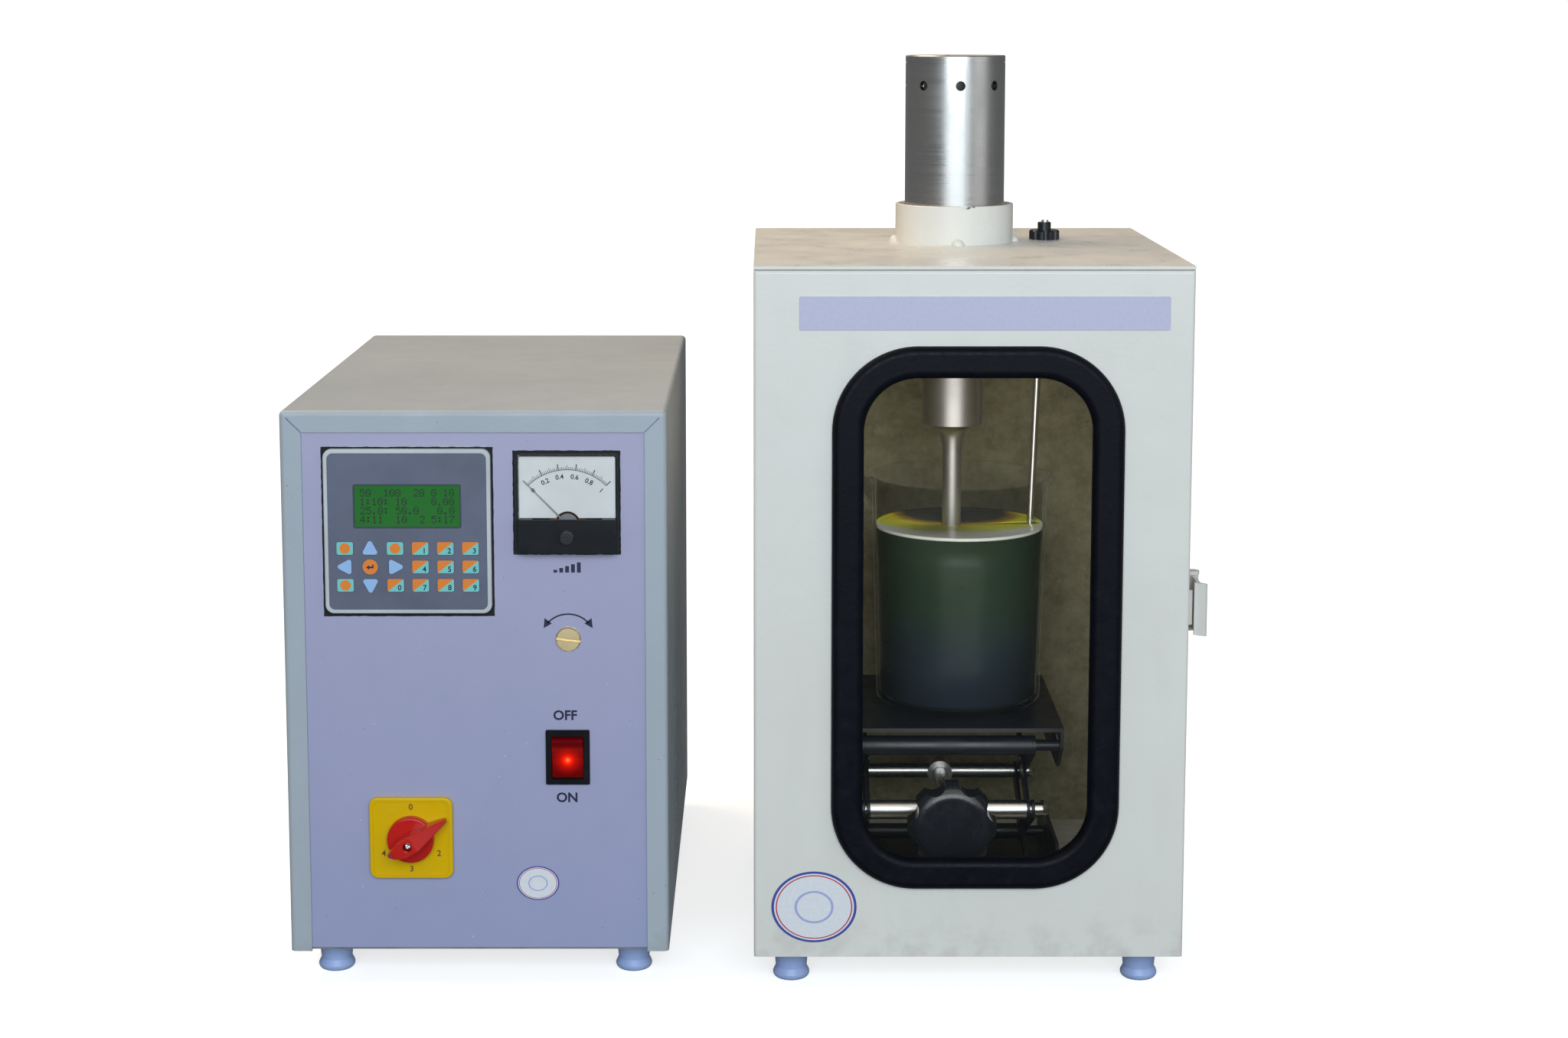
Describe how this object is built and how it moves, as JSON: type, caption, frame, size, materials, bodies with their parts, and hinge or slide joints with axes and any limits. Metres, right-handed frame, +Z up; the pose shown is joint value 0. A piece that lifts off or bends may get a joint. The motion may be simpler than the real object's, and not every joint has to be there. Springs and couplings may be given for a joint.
{
  "type": "probe sonicator",
  "caption": "Laboratory probe sonicator: a benchtop generator with keypad, meter and switches beside a sound enclosure with a windowed door, a probe on top, a jack and a beaker.",
  "frame": {"origin": "on the bench, below the middle of the bounding box of both units", "axes": "+X to the right seen from the front, +Y from the front to the back, +Z up"},
  "size_m": [0.5326, 0.387, 0.541],
  "materials": {
    "grey_paint": "fine pebble powder coat",
    "cream_paint": "satin powder coat",
    "zinc_sheet": "zinc plated sheet",
    "lavender_film": "printed overlay film",
    "blue_plastic": "moulded, satin",
    "grey_plastic": "moulded, satin",
    "membrane": "printed membrane",
    "green_display": "backlit display",
    "clear_plastic": "clear moulding",
    "black_plastic": "moulded, satin",
    "white_paint": "printed dial sheet",
    "copper": "enamelled winding and steel",
    "dark_grey_paint": "matt",
    "brass": "turned, tarnished",
    "red_clear": "translucent rocker",
    "yellow_plastic": "moulded, glossy",
    "red_plastic": "moulded, glossy",
    "bright_steel": "plated",
    "core_steel": "varnished laminations",
    "green_board": "solder mask",
    "aluminium": "as extruded",
    "felt": "mottled sound lining",
    "foam": "closed-cell foam",
    "nylon": "natural nylon",
    "steel": "turned stainless steel",
    "titanium": "turned titanium alloy",
    "ceramic": "piezo ceramic with thin electrodes",
    "clear_pane": "slightly smoky acrylic pane",
    "rubber": "extruded seal",
    "black_paint": "black paint on steel",
    "hazy_plastic": "translucent polypropylene"
  },
  "bodies": {
    "housings": {"gen_cover": "grey_paint", "gen_chassis": "zinc_sheet", "gen_front_plate": "aluminium", "gen_overlay": "lavender_film", "cover_screws": "bright_steel", "feet": "blue_plastic", "controller_housing": "black_plastic", "controller_bezel": "grey_plastic", "controller_keypad": "membrane", "controller_display": "green_display", "meter_cover": "clear_plastic", "meter_case": "black_plastic", "meter_dial": "white_paint", "meter_movement": "copper", "tuning_coil": "copper", "power_switch_body": "black_plastic", "selector_plate": "yellow_plastic", "selector_body": "black_plastic", "transformer": "core_steel", "driver_board": "green_board", "heat_sink": "aluminium", "fan_frame": "black_plastic", "rear_sockets": "black_plastic", "case_shell": "cream_paint", "case_lining": "felt", "collar": "cream_paint", "collar_ring": "nylon", "sensor_gland": "black_plastic", "hinge_pins": "steel", "latch_base": "cream_paint", "jack_base": "black_paint"},
    "needle": {"meter_needle": "dark_grey_paint"},
    "zero_screw": {"meter_zero_screw": "black_plastic"},
    "tuning": {"tuning_screw": "brass"},
    "rocker": {"power_rocker": "red_clear"},
    "selector": {"selector_knob": "red_plastic", "selector_screw": "bright_steel"},
    "fan": {"fan_rotor": "black_plastic"},
    "door": {"door_panel": "cream_paint", "window_pane": "clear_pane", "window_seal": "rubber", "door_gasket": "foam", "latch_keeper": "cream_paint"},
    "latch": {"latch_lever": "cream_paint"},
    "probe": {"converter_housing": "steel", "converter_cap": "steel", "piezo_rings": "ceramic", "stack_masses": "aluminium", "horn": "titanium"},
    "sensor": {"temp_sensor": "steel"},
    "lower_main": {"lower_main_arms": "black_paint"},
    "lower_cross": {"lower_cross_arms": "black_paint"},
    "upper_main": {"upper_main_arms": "black_paint"},
    "upper_cross": {"upper_cross_arms": "black_paint"},
    "platform": {"jack_plate": "black_paint", "beaker": "hazy_plastic"},
    "front_rod": {"jack_front_rod": "steel"},
    "rear_rod": {"jack_rear_rod": "steel"},
    "spindle": {"jack_spindle": "steel", "jack_knob": "black_plastic"}
  },
  "joints": [
    {"name": "meter_reading", "type": "hinge", "parent": "housings", "child": "needle", "pos_m": [-0.10125, -0.176, 0.2754], "axis": [0, 1, 0], "range_deg": [0, 89], "stiffness_Nm_per_rad": 0.00002},
    {"name": "meter_zero", "type": "hinge", "parent": "housings", "child": "zero_screw", "pos_m": [-0.10125, -0.182, 0.2686], "axis": [0, 1, 0], "range_deg": [-45, 45]},
    {"name": "tuning_turn", "type": "hinge", "parent": "housings", "child": "tuning", "pos_m": [-0.10165, -0.172, 0.207], "axis": [0, 1, 0], "continuous": true},
    {"name": "power_rock", "type": "hinge", "parent": "housings", "child": "rocker", "pos_m": [-0.10255, -0.171, 0.137], "axis": [-1, 0, 0], "range_deg": [0, 22]},
    {"name": "selector_turn", "type": "hinge", "parent": "housings", "child": "selector", "pos_m": [-0.19425, -0.172, 0.089], "axis": [0, 1, 0], "range_deg": [-60, 180]},
    {"name": "fan_spin", "type": "hinge", "parent": "housings", "child": "fan", "pos_m": [-0.20725, 0.16, 0.262], "axis": [0, 1, 0], "continuous": true},
    {"name": "door_swing", "type": "hinge", "parent": "housings", "child": "door", "pos_m": [0.01375, -0.1755, 0.0203], "axis": [0, 0, -1], "range_deg": [0, 105]},
    {"name": "latch_swing", "type": "hinge", "parent": "housings", "child": "latch", "pos_m": [0.26175, -0.1545, 0.2265], "axis": [0, 0, 1], "range_deg": [-4, 100]},
    {"name": "probe_lift", "type": "slide", "parent": "housings", "child": "probe", "axis": [0, 0, 1], "range_m": [0, 0.235]},
    {"name": "sensor_slide", "type": "slide", "parent": "housings", "child": "sensor", "axis": [0.0405, 0.0432, 0.9982], "range_m": [0, 0.12]},
    {"name": "jack_lift", "type": "hinge", "parent": "housings", "child": "lower_main", "pos_m": [0.12575, 0.0075, 0.03575], "axis": [-1, 0, 0], "range_deg": [-5.5, 28]},
    {"name": "lower_cross_turn", "type": "hinge", "parent": "lower_main", "child": "lower_cross", "pos_m": [0.12575, -0.03537, 0.0562], "axis": [-1, 0, 0], "range_deg": [-56, 11]},
    {"name": "upper_main_turn", "type": "hinge", "parent": "lower_main", "child": "upper_main", "pos_m": [0.12575, -0.07825, 0.07665], "axis": [-1, 0, 0], "range_deg": [-56, 11]},
    {"name": "upper_cross_turn", "type": "hinge", "parent": "upper_main", "child": "upper_cross", "pos_m": [0.12575, -0.03537, 0.0971], "axis": [-1, 0, 0], "range_deg": [-11, 56]},
    {"name": "platform_turn", "type": "hinge", "parent": "upper_main", "child": "platform", "pos_m": [0.12575, 0.0075, 0.11755], "axis": [-1, 0, 0], "range_deg": [-5.5, 28]},
    {"name": "front_rod_turn", "type": "hinge", "parent": "lower_main", "child": "front_rod", "pos_m": [0.12575, -0.07825, 0.07665], "axis": [-1, 0, 0], "range_deg": [-28, 5.5]},
    {"name": "rear_rod_turn", "type": "hinge", "parent": "lower_cross", "child": "rear_rod", "pos_m": [0.12575, 0.0075, 0.07665], "axis": [-1, 0, 0], "range_deg": [-5.5, 28]},
    {"name": "spindle_turn", "type": "hinge", "parent": "front_rod", "child": "spindle", "pos_m": [0.12575, -0.07825, 0.07665], "axis": [0, 1, 0], "range_deg": [-645.7, 3287.2]}
  ],
  "couplings": [
    {"joint": "lower_cross_turn", "follows": "jack_lift", "ratio": -2},
    {"joint": "upper_main_turn", "follows": "jack_lift", "ratio": -2},
    {"joint": "upper_cross_turn", "follows": "jack_lift", "ratio": 2},
    {"joint": "platform_turn", "follows": "jack_lift", "ratio": 1},
    {"joint": "front_rod_turn", "follows": "jack_lift", "ratio": -1},
    {"joint": "rear_rod_turn", "follows": "jack_lift", "ratio": 1},
    {"joint": "spindle_turn", "follows": "jack_lift", "ratio": 117.4}
  ]
}
